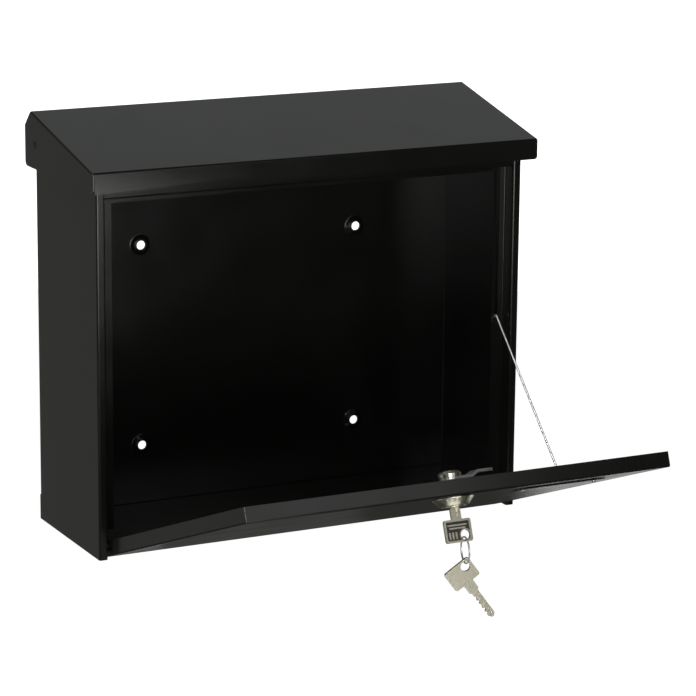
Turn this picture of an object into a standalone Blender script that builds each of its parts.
"""Wall mounted mailbox with a roof flap and a door that hinges at the bottom.

Metres, +Z up. The wall is the plane Y = 0 and the box stands on its -Y side. The origin is the
centre of the four fixing holes on that plane. The door stands open, held by its stay rod.
"""
import math

import bmesh
import bpy
from mathutils import Matrix, Vector

# Sheet and clearances
SHEET = 0.001
BEND = 0.001
GAP = 0.0003

# Body
BODY_WIDTH = 0.360
BODY_DEPTH = 0.122
WALL_OFFSET = 0.007
HOLE_SPACING_X = 0.189
HOLE_SPACING_Z = 0.163
HOLE_HEIGHT = 0.133
FLANGE_WIDTH = 0.007
STOP_RECESS = 0.0125
STOP_WIDTH = 0.0105
STOP_BOTTOM = 0.020
DOOR_HEAD = 0.2775
RAIL_BOTTOM = 0.2722
RAIL_TOP = 0.2985
RAIL_REAR = -0.097
DECK_TOP = 0.2975
DECK_FRONT = -0.036
ROOF_CLEARANCE = 0.0026

# Roof flap
LID_OVERHANG = 0.008
LID_FRONT_OVERHANG = 0.012
LID_RIM = 0.2845
LID_EAVE = 0.3005
LID_RIDGE = 0.328
LID_RIDGE_Y = -0.0167
LID_REAR_Y = -0.0046
LID_SHOULDER = 0.316
LID_PIVOT_Y = -0.0265
LID_PIVOT_HEIGHT = 0.3035
LID_BEND = 0.0016

# Door
DOOR_WIDTH = 0.343
DOOR_LENGTH = 0.276
DOOR_LIP = 0.0116
DOOR_BOTTOM = 0.0005
DOOR_RECESS = 0.0005
DOOR_OPEN = math.radians(69.2)
DOOR_BEND = 0.0014
PIN_UP = 0.008
PIN_IN = 0.0085

# Fasteners: the radius of each hole, 0.3 mm over its shank
PIN_HOLE = 0.0022
PIVOT_HOLE = 0.0028
RIVET_HOLE = 0.0012
RIVET_SHANK = RIVET_HOLE - GAP
RIVET_TAIL = 0.0017
RAIL_RIVET_HEAD = 0.0020
PLATE_RIVET_HEAD = 0.0018
PIN_HEAD = 0.0032
STUD_COLLAR = 0.0040
STUD_HEAD = 0.0050

# Lock and keys
LOCK_UP = 0.256
HOUSING_RADIUS = 0.0084
LOCK_BORE = 0.0087
PLUG_RADIUS = 0.006
STUB_RADIUS = 0.0046
STUB_BORE = 0.0049
CAM_THICKNESS = 0.002
CAM_HEEL = 0.0078
CAM_TOE = 0.0045
CAM_REACH = 0.0345
KEY_THICKNESS = 0.0018
KEYWAY = (0.0060, 0.0024)
KEYWAY_BOTTOM = -0.0178
BOW_HALF = 0.01085
BOW_BASE = 0.0159
BOW_TOP = 0.0325
NECK_HALF = 0.0040
BLADE_HALF = 0.00265
BLADE_START = 0.0074
KEY_TIP = -0.0170
KEY_HOLE = (0.0052, 0.0275)
KEY_HOLE_RADIUS = 0.00365
RING_RADIUS = 0.0096
RING_WIRE = 0.0009
RING_TURN = math.radians(-10)
SPARE_TILT = math.radians(-36)
RING_DROP = 0.0020
SPARE_DROP = 0.0024

# Stay rod
ROD_X = 0.167
ROD_RADIUS = 0.001
ROD_LENGTH = 0.1542
ROD_UP = 0.1203
ROD_IN = 0.008
ROD_SLOT_BOTTOM = 0.153
ROD_BEND = 0.0016
ROD_FOOT = 0.0053
HOOK_REACH = 0.0070

# Name plate
PLATE_X = 0.096
PLATE_UP = 0.240
PLATE_SIZE = (0.070, 0.020)
PLATE_THICKNESS = 0.0008

# Pressed collar round a fixing hole, as radii and heights above the back panel's rear face
COLLAR = ((0, 0.0033), (0.0052, 0.0033), (0.0086, 0.0005), (0, 0.0005))
COLLAR_HOLLOW = (
    (0, 0.0040),
    (0.0036, 0.0040),
    (0.0036, 0.0023),
    (0.0047, 0.0023),
    (0.0078, -0.0003),
    (0, -0.0003),
)

# Planes worked out from the sizes above
BOTTOM = -HOLE_HEIGHT
HALF = BODY_WIDTH / 2
REAR = -WALL_OFFSET
FRONT = REAR - BODY_DEPTH
FLANGE_EDGE = HALF - FLANGE_WIDTH
STOP_FRONT = FRONT + STOP_RECESS
STOP_EDGE = FLANGE_EDGE + SHEET - STOP_WIDTH - SHEET / 2
LID_HALF = HALF + LID_OVERHANG
LID_FRONT = FRONT - LID_FRONT_OVERHANG
ROOF_SLOPE = (LID_RIDGE - LID_EAVE) / (LID_RIDGE_Y - LID_FRONT)
DOOR_FACE = FRONT + DOOR_RECESS
DOOR_HALF = DOOR_WIDTH / 2
PIN_Y = DOOR_FACE + PIN_IN
PIN_Z = BOTTOM + DOOR_BOTTOM + PIN_UP
SIDES = {"left": -1, "right": 1}
FAR = 0.4
LEVELS = {"lower": 0.284, "upper": 0.293}
RIVET_X = HALF - FLANGE_WIDTH / 2
RAIL_FACE = FRONT + SHEET + GAP
STRIP = STOP_FRONT + SHEET + GAP

# Local axes of profiles drawn flat: profile X, profile Y and the direction of the extrusion
ALONG_X = Matrix(((0, 0, 1, 0), (1, 0, 0, 0), (0, 1, 0, 0), (0, 0, 0, 1)))
TURN_TO_X = Matrix.Rotation(math.pi / 2, 4, "Y")
TURN_TO_FRONT = Matrix.Rotation(math.pi / 2, 4, "X")


def clear_scene():
    for item in list(bpy.data.objects):
        bpy.data.objects.remove(item, do_unlink=True)


def new_collection(name):
    made = bpy.data.collections.new(name)
    bpy.context.scene.collection.children.link(made)
    return made


def new_material(name, colour, roughness, metallic):
    made = bpy.data.materials.new(name)
    made.use_nodes = True
    shader = made.node_tree.nodes["Principled BSDF"]
    shader.inputs["Base Color"].default_value = (*colour, 1)
    shader.inputs["Roughness"].default_value = roughness
    shader.inputs["Metallic"].default_value = metallic
    made.diffuse_color = (*colour, 1)
    return made


def new_empty(name, parent=None, place=Matrix()):
    made = bpy.data.objects.new(name, None)
    PARTS.objects.link(made)
    made.parent = parent
    made.matrix_local = place
    return made


def add_part(name, mesh, material, parent=None, place=Matrix(), smooth=False):
    made = bpy.data.objects.new(name, mesh)
    PARTS.objects.link(made)
    made.parent = parent
    made.matrix_local = place
    mesh.materials.append(material)
    if smooth:
        mesh.shade_smooth()
        mesh.set_sharp_from_angle(angle=math.radians(40))
    return made


def add_cutter(mesh, parent=None, place=Matrix()):
    made = bpy.data.objects.new("cutter", mesh)
    CUTTERS.objects.link(made)
    made.parent = parent
    made.matrix_local = place
    made.hide_render = True
    made.display_type = "WIRE"
    return made


def combine(target, tool, operation="DIFFERENCE"):
    step = target.modifiers.new(operation.lower(), "BOOLEAN")
    step.operation = operation
    step.solver = "EXACT"
    step.object = tool


def evaluated_mesh(item):
    """The item's mesh after its modifiers, or a curve's as a welded mesh."""
    bpy.context.view_layer.update()
    graph = bpy.context.evaluated_depsgraph_get()
    made = bpy.data.meshes.new_from_object(item.evaluated_get(graph))
    shape = bmesh.new()
    shape.from_mesh(made)
    bmesh.ops.remove_doubles(shape, verts=shape.verts, dist=1e-6)
    bmesh.ops.recalc_face_normals(shape, faces=shape.faces)
    shape.to_mesh(made)
    shape.free()
    return made


def taken_mesh(item):
    """The evaluated mesh of an item that was only a step on the way, which is removed."""
    made = evaluated_mesh(item)
    bpy.data.objects.remove(item, do_unlink=True)
    return made


def box_mesh(low, high):
    low, high = Vector(low), Vector(high)
    shape = bmesh.new()
    place = Matrix.Translation((low + high) / 2) @ Matrix.Diagonal((*(high - low), 1))
    bmesh.ops.create_cube(shape, size=1, matrix=place)
    made = bpy.data.meshes.new("box")
    shape.to_mesh(made)
    shape.free()
    return made


def cylinder_mesh(radius, low, high, sides=24):
    """A cylinder about Z from low to high."""
    shape = bmesh.new()
    bmesh.ops.create_cone(
        shape,
        cap_ends=True,
        segments=sides,
        radius1=radius,
        radius2=radius,
        depth=high - low,
        matrix=Matrix.Translation((0, 0, (low + high) / 2)),
    )
    made = bpy.data.meshes.new("cylinder")
    shape.to_mesh(made)
    shape.free()
    return made


def rounded(points, radius, steps=3):
    """An open polyline whose inner corners are arcs."""
    corners = [Vector((x, y, 0)) for x, y in points]
    made = [corners[0]]
    for before, corner, after in zip(corners, corners[1:], corners[2:]):
        back = (before - corner).normalized()
        ahead = (after - corner).normalized()
        half = back.angle(ahead) / 2
        centre = corner + (back + ahead).normalized() * radius / math.sin(half)
        first = corner + back * radius / math.tan(half) - centre
        last = corner + ahead * radius / math.tan(half) - centre
        for step in range(steps + 1):
            made.append(centre + first.normalized().slerp(last.normalized(), step / steps) * radius)
    made.append(corners[-1])
    return made


def rounded_loop(points, radius, steps=3):
    """A closed outline whose corners are arcs."""
    return rounded([points[-1], *points, points[0]], radius, steps)[1:-1]


def flat_curve(loops, half_thickness, cyclic):
    """A flat curve object from loops of points, extruded by half_thickness each way."""
    data = bpy.data.curves.new("outline", "CURVE")
    data.dimensions = "2D"
    data.fill_mode = "BOTH" if cyclic else "NONE"
    data.extrude = half_thickness
    for loop in loops:
        spline = data.splines.new("POLY")
        spline.points.add(len(loop) - 1)
        spline.use_cyclic_u = cyclic
        for point, place in zip(spline.points, loop):
            point.co = (place[0], place[1], 0, 1)
    made = bpy.data.objects.new("outline", data)
    bpy.context.scene.collection.objects.link(made)
    return made


def outline_mesh(loops, thickness):
    """A plate with the given outline and holes, centred on its own plane."""
    return taken_mesh(flat_curve(loops, thickness / 2, True))


def folded_mesh(points, width, thickness=SHEET, bend=BEND):
    """A sheet folded along a line of points and as wide as width, centred on its own plane."""
    ribbon = taken_mesh(flat_curve([rounded(points, bend)], width / 2, False))
    item = bpy.data.objects.new("sheet", ribbon)
    bpy.context.scene.collection.objects.link(item)
    shell = item.modifiers.new("thickness", "SOLIDIFY")
    shell.thickness = thickness
    shell.offset = 0
    shell.use_even_offset = True
    return taken_mesh(item)


def circle(x, y, radius, steps=24):
    turn = 2 * math.pi / steps
    return [(x + radius * math.cos(i * turn), y + radius * math.sin(i * turn)) for i in range(steps)]


def turned_mesh(profile, steps=24, closed=False):
    """A profile of (radius, height), outer side top to bottom, turned about Z."""
    mesh = bpy.data.meshes.new("turned")
    edges = [(i, i + 1) for i in range(len(profile) - 1)]
    if closed:
        edges.append((len(profile) - 1, 0))
    mesh.from_pydata([(radius, 0, z) for radius, z in profile], edges, [])
    item = bpy.data.objects.new("turned", mesh)
    bpy.context.scene.collection.objects.link(item)
    screw = item.modifiers.new("turn", "SCREW")
    screw.steps = steps
    screw.render_steps = steps
    screw.use_merge_vertices = True
    screw.merge_threshold = 1e-5
    return taken_mesh(item)


def bevelled_box(low, high, radius):
    """A box whose edges are all rounded."""
    item = bpy.data.objects.new("box", box_mesh(low, high))
    bpy.context.scene.collection.objects.link(item)
    round_edges(item, radius)
    return taken_mesh(item)


def round_edges(item, radius):
    step = item.modifiers.new("edges", "BEVEL")
    step.width = radius
    step.segments = 3
    step.limit_method = "ANGLE"


def up(height):
    """World Z at a height above the body's bottom edge."""
    return BOTTOM + height


def roof_height(y):
    """Height of the roof's outer face above the body's bottom edge."""
    return LID_RIDGE - (LID_RIDGE_Y - y) * ROOF_SLOPE


def hole_places():
    """The four fixing holes on the wall plane by name, with Z of each place pointing to the front."""
    places = {}
    for side_name, side in SIDES.items():
        for level, sign in (("lower", -1), ("upper", 1)):
            middle = (side * HOLE_SPACING_X / 2, 0, sign * HOLE_SPACING_Z / 2)
            places[f"{side_name}_{level}"] = Matrix.Translation(middle) @ TURN_TO_FRONT
    return places


def side_panel(name, side, paint):
    """A side whose front edge is folded into flange, return and stop flange."""
    wall = side * (HALF - SHEET / 2)
    inner = side * (FLANGE_EDGE + SHEET / 2)
    profile = (
        (wall, REAR),
        (wall, FRONT + SHEET / 2),
        (inner, FRONT + SHEET / 2),
        (inner, STOP_FRONT + SHEET / 2),
        (side * STOP_EDGE, STOP_FRONT + SHEET / 2),
    )
    place = Matrix.Translation((0, 0, up(LID_RIDGE / 2)))
    panel = add_part(name, folded_mesh(profile, LID_RIDGE), paint, place=place)
    above = outline_mesh([panel_top()], FAR)
    combine(panel, add_cutter(above, place=ALONG_X))
    cut_return(panel, side)
    pin_hole = cylinder_mesh(PIN_HOLE, inner - 2 * SHEET, inner + 2 * SHEET)
    combine(panel, add_cutter(pin_hole, place=Matrix.Translation((0, PIN_Y, PIN_Z)) @ TURN_TO_X))
    pivot_hole = cylinder_mesh(PIVOT_HOLE, wall - 2 * SHEET, wall + 2 * SHEET)
    combine(panel, add_cutter(pivot_hole, place=lid_pivot() @ TURN_TO_X))
    for place in rail_rivet_places(side):
        combine(panel, add_cutter(rivet_hole(), place=place))
    return panel


def panel_top():
    """The outline of what the roof's slope and its rear chamfer take off a side, as (Y, Z)."""
    ahead = FRONT - 0.01
    behind = 0.01
    slope_end = -0.030
    outline = (
        (ahead, roof_height(ahead) - ROOF_CLEARANCE),
        (slope_end, roof_height(slope_end) - ROOF_CLEARANCE),
        (REAR, 0.306),
        (behind, 0.296),
        (behind, FAR),
        (ahead, FAR),
    )
    return [(y, up(height)) for y, height in outline]


def rivet_hole():
    return cylinder_mesh(RIVET_HOLE, -4 * SHEET, 4 * SHEET, 16)


def cut_return(panel, side):
    """Takes the return and stop flange away above the door head and clear of the door's foot."""
    inside = STOP_EDGE - STOP_WIDTH
    low_x, high_x = sorted((side * inside, side * (FLANGE_EDGE + 2.5 * SHEET)))
    behind = STOP_FRONT + 3 * SHEET
    head = box_mesh((low_x, FRONT + 1.05 * SHEET, up(DOOR_HEAD - GAP)), (high_x, behind, up(FAR)))
    combine(panel, add_cutter(head))
    foot = box_mesh((low_x, STOP_FRONT - 2 * GAP, up(-0.01)), (high_x, behind, up(STOP_BOTTOM)))
    combine(panel, add_cutter(foot))


def rail_rivet_places(side):
    for height in LEVELS.values():
        yield Matrix.Translation((side * RIVET_X, FRONT, up(height))) @ TURN_TO_FRONT


def lid_pivot():
    return Matrix.Translation((0, LID_PIVOT_Y, up(LID_PIVOT_HEIGHT)))


def cut_rod_slot(panel):
    """The long slot in the stop flange that the stay rod's hooked end slides in."""
    half = ROD_RADIUS + 0.0004
    low = (ROD_X - half, STOP_FRONT - SHEET, up(ROD_SLOT_BOTTOM))
    slot = box_mesh(low, (ROD_X + half, STOP_FRONT + 2 * SHEET, up(DOOR_HEAD + 0.0125)))
    combine(panel, add_cutter(slot))


def back_panel(paint):
    """The back with a short deck folded over its top and a raised collar round each fixing hole."""
    y = REAR - SHEET / 2
    profile = [(y, 0.0042), (y, DECK_TOP), (DECK_FRONT, DECK_TOP), (DECK_FRONT, DECK_TOP - 0.0075)]
    profile = [(depth, up(h)) for depth, h in profile]
    width = BODY_WIDTH - 2 * (SHEET + GAP)
    panel = add_part("back_panel", folded_mesh(profile, width), paint, place=ALONG_X)
    for place in hole_places().values():
        seat = place @ Matrix.Translation((0, 0, WALL_OFFSET))
        combine(panel, add_cutter(turned_mesh(COLLAR), place=seat), "UNION")
        combine(panel, add_cutter(turned_mesh(COLLAR_HOLLOW), place=seat))
    return panel


def floor_pan(paint):
    """The floor with a turned-down front edge and a rear upstand outside the back panel."""
    profile = [(-0.1095, 0.0003), (-0.1095, 0.003), (-0.0060, 0.003)]
    profile = [(depth, up(h)) for depth, h in profile]
    width = BODY_WIDTH - 2 * (SHEET + GAP)
    pan = add_part("floor_pan", folded_mesh(profile, width), paint, place=ALONG_X)
    upstand = box_mesh((-HALF, REAR + GAP, up(0)), (HALF, REAR + 0.0018, up(0.020)))
    combine(pan, add_cutter(upstand), "UNION")
    return pan


def front_rail(paint):
    """The rail over the door: stop strip, door head, front face and the mail slot's front edge."""
    profile = (
        (STRIP + SHEET / 2, RAIL_BOTTOM),
        (STRIP + SHEET / 2, DOOR_HEAD + SHEET / 2),
        (RAIL_FACE + SHEET / 2, DOOR_HEAD + SHEET / 2),
        (RAIL_FACE + SHEET / 2, RAIL_TOP),
        (RAIL_REAR, RAIL_TOP),
        (RAIL_REAR, RAIL_TOP - 0.0045),
    )
    profile = [(depth, up(h)) for depth, h in profile]
    width = BODY_WIDTH - 2 * (SHEET + GAP)
    rail = add_part("front_rail", folded_mesh(profile, width), paint, place=ALONG_X)
    low = (ROD_X - 0.0034, STRIP - SHEET, up(RAIL_BOTTOM - 0.008))
    notch = box_mesh(low, (ROD_X + 0.0021, STRIP + 2 * SHEET, up(DOOR_HEAD - SHEET)))
    combine(rail, add_cutter(notch))
    for side in SIDES.values():
        for place in rail_rivet_places(side):
            combine(rail, add_cutter(rivet_hole(), place=place))
    return rail


def rivet_mesh(head, grip):
    """A rivet along Z: a domed head of the given radius on Z = GAP and a flat one below its grip."""
    tail = -grip - GAP
    profile = (
        (0, GAP + 0.0009),
        (0.6 * head, GAP + 0.0008),
        (head, GAP + 0.0003),
        (head, GAP),
        (RIVET_SHANK, GAP),
        (RIVET_SHANK, tail),
        (RIVET_TAIL, tail),
        (RIVET_TAIL, tail - 0.0005),
        (0, tail - 0.0005),
    )
    return turned_mesh(profile, 16)


def rail_rivets(steel):
    """The rivets through each front flange and the rail behind it."""
    for side_name, side in SIDES.items():
        for level, place in zip(LEVELS, rail_rivet_places(side)):
            mesh = rivet_mesh(RAIL_RIVET_HEAD, 2 * SHEET + GAP)
            add_part(f"{side_name}_{level}_rail_rivet", mesh, steel, place=place, smooth=True)


def lid_pivot_stud(name, side, steel):
    """A shouldered stud in the side panel whose nose carries the flap's cheek."""
    nose = LID_HALF - 0.0002
    back = HALF - 4 * SHEET
    profile = (
        (0, nose),
        (0.0019, nose),
        (0.0019, LID_HALF - SHEET - GAP),
        (STUD_COLLAR, LID_HALF - SHEET - GAP),
        (STUD_COLLAR, HALF + GAP),
        (PIVOT_HOLE - GAP, HALF + GAP),
        (PIVOT_HOLE - GAP, HALF - SHEET - GAP),
        (STUD_HEAD, HALF - SHEET - GAP),
        (STUD_HEAD, back),
        (0, back),
    )
    place = lid_pivot() @ Matrix.Rotation(side * math.pi / 2, 4, "Y")
    return add_part(name, turned_mesh(profile), steel, place=place, smooth=True)


def door_pin(name, side, steel):
    """A headed pin through the door's side lip and the panel's return."""
    outer = FLANGE_EDGE + 0.0025
    inner = DOOR_HALF - 0.0025
    profile = (
        (0, outer),
        (PIN_HEAD, outer),
        (PIN_HEAD, FLANGE_EDGE + SHEET + GAP),
        (PIN_HOLE - GAP, FLANGE_EDGE + SHEET + GAP),
        (PIN_HOLE - GAP, DOOR_HALF - SHEET - GAP),
        (PIN_HEAD, DOOR_HALF - SHEET - GAP),
        (PIN_HEAD, inner),
        (0, inner),
    )
    place = Matrix.Translation((0, PIN_Y, PIN_Z)) @ Matrix.Rotation(side * math.pi / 2, 4, "Y")
    return add_part(name, turned_mesh(profile), steel, place=place, smooth=True)


def wall_spacers(rubber):
    """Four rings that hold the box off the wall, so that the flap's rear edge can swing."""
    profile = ((0.013, WALL_OFFSET - GAP), (0.013, 0), (0.0095, 0), (0.0095, WALL_OFFSET - GAP))
    for name, place in hole_places().items():
        add_part(f"{name}_wall_spacer", turned_mesh(profile, closed=True), rubber, place=place)


def roof_lid(paint):
    """Roof, cheeks and fascia: a rounded wedge, hollowed from below and open to the wall."""
    beyond = 0.02
    below = LID_RIM - 0.0145
    block = (
        (beyond, up(below)),
        (LID_FRONT, up(below)),
        (LID_FRONT, up(LID_EAVE)),
        (beyond, up(roof_height(beyond))),
    )
    lid = add_part("roof_lid", outline_mesh([block], 2 * LID_HALF), paint, place=ALONG_X)
    round_edges(lid, LID_BEND)
    drop = SHEET * math.hypot(1, ROOF_SLOPE)
    inside = (
        (FAR, 0),
        (LID_FRONT + SHEET, 0),
        (LID_FRONT + SHEET, up(roof_height(LID_FRONT + SHEET) - drop)),
        (FAR, up(roof_height(FAR) - drop)),
    )
    hollow = outline_mesh([inside], 2 * (LID_HALF - SHEET))
    combine(lid, add_cutter(hollow, place=ALONG_X))
    rim = (
        (-FAR, 0),
        (-FAR, up(LID_RIM)),
        (LID_REAR_Y, up(LID_RIM)),
        (LID_REAR_Y, up(LID_SHOULDER)),
        (LID_RIDGE_Y, up(LID_RIDGE)),
        (LID_RIDGE_Y, FAR),
        (FAR, FAR),
        (FAR, 0),
    )
    combine(lid, add_cutter(outline_mesh([rim], 2 * FAR), place=ALONG_X))
    slot = box_mesh((-FAR, -0.0028, -0.0023), (FAR, 0.0028, 0.0023))
    combine(lid, add_cutter(slot, place=lid_pivot()))
    return lid


def door_point(x, inward, along):
    """A point of the door in its own axes, from its outer face and its bottom edge."""
    return Vector((x, inward - PIN_IN, along - PIN_UP))


def door_tray(axis, paint):
    """The door's face with lips folded inwards all round, hollowed from the inside."""
    deep = 0.03
    top = door_point(DOOR_HALF, deep, DOOR_LENGTH)
    rough = bevelled_box(door_point(-DOOR_HALF, 0, 0), top, DOOR_BEND)
    door = add_part("door_tray", rough, paint, axis)
    inner = DOOR_HALF - SHEET
    hollow = box_mesh(
        door_point(-inner, SHEET, SHEET), door_point(inner, 2 * deep, DOOR_LENGTH - SHEET)
    )
    combine(door, add_cutter(hollow, axis))
    spare = box_mesh(door_point(-FAR, DOOR_LIP, -FAR), door_point(FAR, 2 * deep, FAR))
    combine(door, add_cutter(spare, axis))
    bore = cylinder_mesh(LOCK_BORE, -0.003, 0.003, 32)
    place = Matrix.Translation(door_point(0, 0, LOCK_UP)) @ TURN_TO_FRONT
    combine(door, add_cutter(bore, axis, place))
    rod_hole = cylinder_mesh(ROD_RADIUS + GAP, inner - SHEET, inner + 2 * SHEET, 16)
    place = Matrix.Translation(door_point(0, ROD_IN, ROD_UP)) @ TURN_TO_X
    combine(door, add_cutter(rod_hole, axis, place))
    pin_holes = cylinder_mesh(PIN_HOLE, -FAR, FAR)
    combine(door, add_cutter(pin_holes, axis, TURN_TO_X))
    cut_plate_holes(door, axis)
    return door


def plate_rivet_places():
    for side in (-1, 1):
        x = PLATE_X + side * (PLATE_SIZE[0] / 2 - 0.005)
        yield Matrix.Translation(door_point(x, 0, PLATE_UP)) @ TURN_TO_FRONT


def cut_plate_holes(item, axis):
    for place in plate_rivet_places():
        combine(item, add_cutter(rivet_hole(), axis, place))


def name_plate(axis, plate):
    """A blank plate with rounded corners on the door's outer face."""
    half_x, half_z = PLATE_SIZE[0] / 2, PLATE_SIZE[1] / 2
    corners = ((-half_x, -half_z), (half_x, -half_z), (half_x, half_z), (-half_x, half_z))
    mesh = outline_mesh([rounded_loop(corners, 0.002)], PLATE_THICKNESS)
    middle = door_point(PLATE_X, -GAP - PLATE_THICKNESS / 2, PLATE_UP)
    made = add_part("name_plate", mesh, plate, axis, Matrix.Translation(middle) @ TURN_TO_FRONT)
    cut_plate_holes(made, axis)
    return made


def name_plate_rivets(axis, steel):
    stack = GAP + PLATE_THICKNESS
    for side_name, place in zip(SIDES, plate_rivet_places()):
        mesh = rivet_mesh(PLATE_RIVET_HEAD, stack + SHEET)
        seat = place @ Matrix.Translation((0, 0, stack))
        add_part(f"{side_name}_plate_rivet", mesh, steel, axis, seat, True)


def lock_rosette(lock, nickel):
    profile = (
        (0.0104, 0.0065),
        (0.0109, 0.0062),
        (0.0150, 0.0009),
        (0.0150, GAP),
        (LOCK_BORE, GAP),
        (LOCK_BORE, 0.0065),
    )
    return add_part("lock_rosette", turned_mesh(profile, 40, True), nickel, lock, smooth=True)


def lock_housing(lock, nickel):
    profile = (
        (0.0080, 0.0073),
        (HOUSING_RADIUS, 0.0069),
        (HOUSING_RADIUS, -0.0120),
        (PLUG_RADIUS + GAP, -0.0120),
        (PLUG_RADIUS + GAP, 0.0073),
    )
    return add_part("lock_housing", turned_mesh(profile, 32, True), nickel, lock, smooth=True)


def lock_nut(lock, nickel):
    """The hexagon nut that clamps the housing from inside the door."""
    nut = add_part("lock_nut", cylinder_mesh(0.0125, -0.0048, -0.0013, 6), nickel, lock)
    combine(nut, add_cutter(cylinder_mesh(LOCK_BORE, -0.01, 0.01, 32), lock))
    return nut


def lock_plug(plug, nickel):
    """The turning barrel with a blind keyway and a thinner stub for the cam."""
    profile = (
        (0, 0.0070),
        (0.0057, 0.0070),
        (PLUG_RADIUS, 0.0067),
        (PLUG_RADIUS, -0.0121),
        (STUB_RADIUS, -0.0121),
        (STUB_RADIUS, -0.0190),
        (0, -0.0190),
    )
    barrel = add_part("lock_plug", turned_mesh(profile, 32), nickel, plug, smooth=True)
    half_x, half_y = KEYWAY[0] / 2, KEYWAY[1] / 2
    keyway = box_mesh((-half_x, -half_y, KEYWAY_BOTTOM), (half_x, half_y, 0.01))
    combine(barrel, add_cutter(keyway, plug))
    return barrel


def cam_lever(plug, steel):
    """A cranked lever that points sideways when the lock is open."""
    profile = ((-0.012, -0.0134), (0.015, -0.0134), (0.0205, -0.0163), (0.040, -0.0163))
    sheet = folded_mesh(profile, 0.018, CAM_THICKNESS, CAM_THICKNESS)
    lever = add_part("cam_lever", sheet, steel, plug, TURN_TO_FRONT)
    heel = half_circle(0, CAM_HEEL, math.pi / 2, 12)
    toe = half_circle(CAM_REACH - CAM_TOE, CAM_TOE, -math.pi / 2, 8)
    outline = outline_mesh([heel + toe], 0.03)
    combine(lever, add_cutter(outline, plug, Matrix.Translation((0, 0, -0.015))), "INTERSECT")
    combine(lever, add_cutter(cylinder_mesh(STUB_BORE, -0.03, 0.01), plug))
    return lever


def half_circle(x, radius, start, steps):
    """Points half way round a circle centred on the X axis."""
    angles = [start + math.pi * step / steps for step in range(steps + 1)]
    return [(x + radius * math.cos(angle), radius * math.sin(angle)) for angle in angles]


def cam_nut(plug, nickel):
    profile = (
        (0.0085, -0.0147),
        (0.0085, -0.0168),
        (0.0070, -0.0184),
        (STUB_BORE, -0.0184),
        (STUB_BORE, -0.0147),
    )
    return add_part("cam_nut", turned_mesh(profile, 24, True), nickel, plug, smooth=True)


def key_teeth():
    """The teeth along the blade's -X edge, from the bow towards the tip."""
    teeth = []
    for step in range(3, -1, -1):
        z = -0.0115 + step * 0.0045
        teeth += [(-0.0025, z + 0.0022), (-0.0013, z + 0.0010), (-0.0013, z), (-0.0024, z - 0.0012)]
    return teeth


def key_mesh(shift):
    """A flat key with its bow towards +Z, moved by shift in its own plane."""
    bow = ((BOW_HALF, BOW_BASE), (BOW_HALF, BOW_TOP), (-BOW_HALF, BOW_TOP), (-BOW_HALF, BOW_BASE))
    bow_arcs = [(p.x, p.y) for p in rounded_loop(bow, 0.002, 2)]
    neck = ((-NECK_HALF, BOW_BASE), (-NECK_HALF, BLADE_START + 0.0006), (-BLADE_HALF, BLADE_START))
    tip = ((-0.0026, KEY_TIP + 0.003), (-0.0010, KEY_TIP), (0.0010, KEY_TIP), (BLADE_HALF, KEY_TIP + 0.002))
    shoulder = ((BLADE_HALF, BLADE_START), (NECK_HALF, BLADE_START + 0.0006), (NECK_HALF, BOW_BASE))
    outline = [*bow_arcs, *neck, *key_teeth(), *tip, *shoulder]
    hole = circle(KEY_HOLE[0], KEY_HOLE[1], KEY_HOLE_RADIUS, 16)
    loops = [[(x + shift[0], z + shift[1]) for x, z in loop] for loop in (outline, hole)]
    mesh = outline_mesh(loops, KEY_THICKNESS)
    mesh.transform(TURN_TO_FRONT)
    return mesh


def stay_rod(axis, steel):
    """The rod with its lower end bent into the door's lip and its upper end hooked."""
    middle = (0, ROD_LENGTH / 2)
    hook_end = (HOOK_REACH, ROD_LENGTH - 0.0018)
    leg = rounded([(ROD_FOOT, 0), (0, 0), middle], ROD_BEND, 4)
    hook = rounded([middle, (0, ROD_LENGTH), hook_end], ROD_BEND, 4)
    route = [(p.x, 0, p.y) for p in leg[:-1]] + [(0, p.x, p.y) for p in hook[1:]]
    data = bpy.data.curves.new("stay_rod", "CURVE")
    data.dimensions = "3D"
    data.bevel_depth = ROD_RADIUS
    data.bevel_resolution = 2
    data.use_fill_caps = True
    spline = data.splines.new("POLY")
    spline.points.add(len(route) - 1)
    for point, place in zip(spline.points, route):
        point.co = (*place, 1)
    data.materials.append(steel)
    rod = bpy.data.objects.new("stay_rod", data)
    PARTS.objects.link(rod)
    rod.parent = axis
    return rod


def rod_washer(axis, steel):
    outer = DOOR_HALF - SHEET - GAP - ROD_X
    inner = outer - 0.0008
    bore = ROD_RADIUS + GAP + 0.00005
    profile = ((0.0032, outer), (0.0032, inner), (bore, inner), (bore, outer))
    return add_part("rod_washer", turned_mesh(profile, 16, True), steel, axis, TURN_TO_X, True)


def key_ring(axis, steel):
    """A round ring that hangs from the key in its own plane, which holds the vertical."""
    bpy.ops.mesh.primitive_torus_add(
        major_segments=32, minor_segments=8, major_radius=RING_RADIUS, minor_radius=RING_WIRE
    )
    torus = bpy.context.object
    place = Matrix.Translation((0, 0, -RING_RADIUS)) @ TURN_TO_X
    return add_part("key_ring", taken_mesh(torus), steel, axis, place, True)


def build_body(paint, steel, rubber):
    side_panel("left_side_panel", -1, paint)
    cut_rod_slot(side_panel("right_side_panel", 1, paint))
    back_panel(paint)
    floor_pan(paint)
    front_rail(paint)
    rail_rivets(steel)
    lid_pivot_stud("left_lid_pivot", -1, paint)
    lid_pivot_stud("right_lid_pivot", 1, paint)
    door_pin("left_door_pin", -1, steel)
    door_pin("right_door_pin", 1, steel)
    wall_spacers(rubber)


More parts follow.
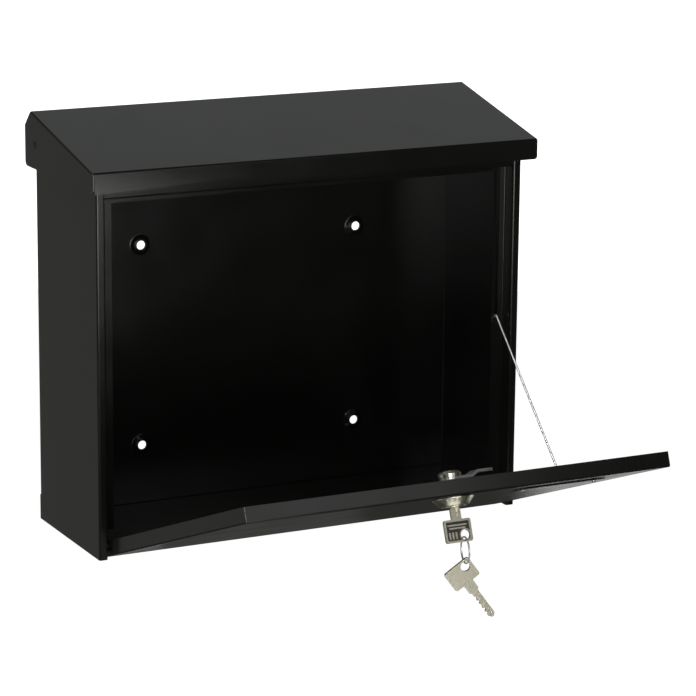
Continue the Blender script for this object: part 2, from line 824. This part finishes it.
def build_lock(axis, steel, nickel):
    """The lock and its key, on an axis that points out of the door; returns the key's axis."""
    middle = Matrix.Translation(door_point(0, 0, LOCK_UP)) @ TURN_TO_FRONT
    lock = new_empty("lock_axis", axis, middle)
    lock_rosette(lock, nickel)
    lock_housing(lock, nickel)
    lock_nut(lock, nickel)
    lock_plug(lock, nickel)
    cam_lever(lock, steel)
    cam_nut(lock, nickel)
    add_part("key", key_mesh((0, 0)), nickel, lock)
    return lock


def build_door(paint, steel, nickel):
    """Everything on the door, in the axes of its hinge pin; returns its axis and the lock's."""
    place = Matrix.Translation((0, PIN_Y, PIN_Z)) @ Matrix.Rotation(DOOR_OPEN, 4, "X")
    axis = new_empty("door_axis", None, place)
    door_tray(axis, paint)
    name_plate(axis, paint)
    name_plate_rivets(axis, steel)
    return axis, build_lock(axis, steel, nickel)


def build_stay(axis, steel):
    """The stay rod, leaning from the door's lip back to the slot in the stop flange."""
    foot = axis.matrix_local @ door_point(ROD_X, ROD_IN, ROD_UP)
    lean = math.asin((STOP_FRONT + SHEET / 2 - foot.y) / ROD_LENGTH)
    rod_axis = new_empty("rod_axis", None, Matrix.Translation(foot) @ Matrix.Rotation(-lean, 4, "X"))
    stay_rod(rod_axis, steel)
    rod_washer(rod_axis, steel)


def build_keys(axis, lock, steel, nickel):
    """The ring that hangs from the key's hole and the spare key that hangs from the ring."""
    top = axis.matrix_local @ lock.matrix_local @ Vector((KEY_HOLE[0], 0, KEY_HOLE[1] + RING_DROP))
    turn = Matrix.Rotation(RING_TURN, 4, "Z")
    ring_axis = new_empty("ring_axis", None, Matrix.Translation(top) @ turn)
    key_ring(ring_axis, steel)
    low = top - Vector((0, 0, 2 * RING_RADIUS))
    tilt = Matrix.Rotation(SPARE_TILT, 4, "Y")
    spare_axis = new_empty("spare_axis", None, Matrix.Translation(low) @ turn @ tilt)
    drop = tilt.inverted() @ Vector((0, 0, -SPARE_DROP))
    shift = (drop.x - KEY_HOLE[0], drop.z - KEY_HOLE[1])
    add_part("spare_key", key_mesh(shift), nickel, spare_axis)


def build():
    paint = new_material("black_paint", (0.018, 0.019, 0.018), 0.38, 0.0)
    steel = new_material("zinc_steel", (0.60, 0.60, 0.58), 0.30, 1.0)
    nickel = new_material("nickel", (0.66, 0.63, 0.56), 0.25, 1.0)
    rubber = new_material("rubber", (0.02, 0.02, 0.02), 0.8, 0.0)
    build_body(paint, steel, rubber)
    roof_lid(paint)
    axis, lock = build_door(paint, steel, nickel)
    build_stay(axis, steel)
    build_keys(axis, lock, steel, nickel)


clear_scene()
PARTS = new_collection("wall_mounted_mailbox")
CUTTERS = new_collection("cutters")
build()
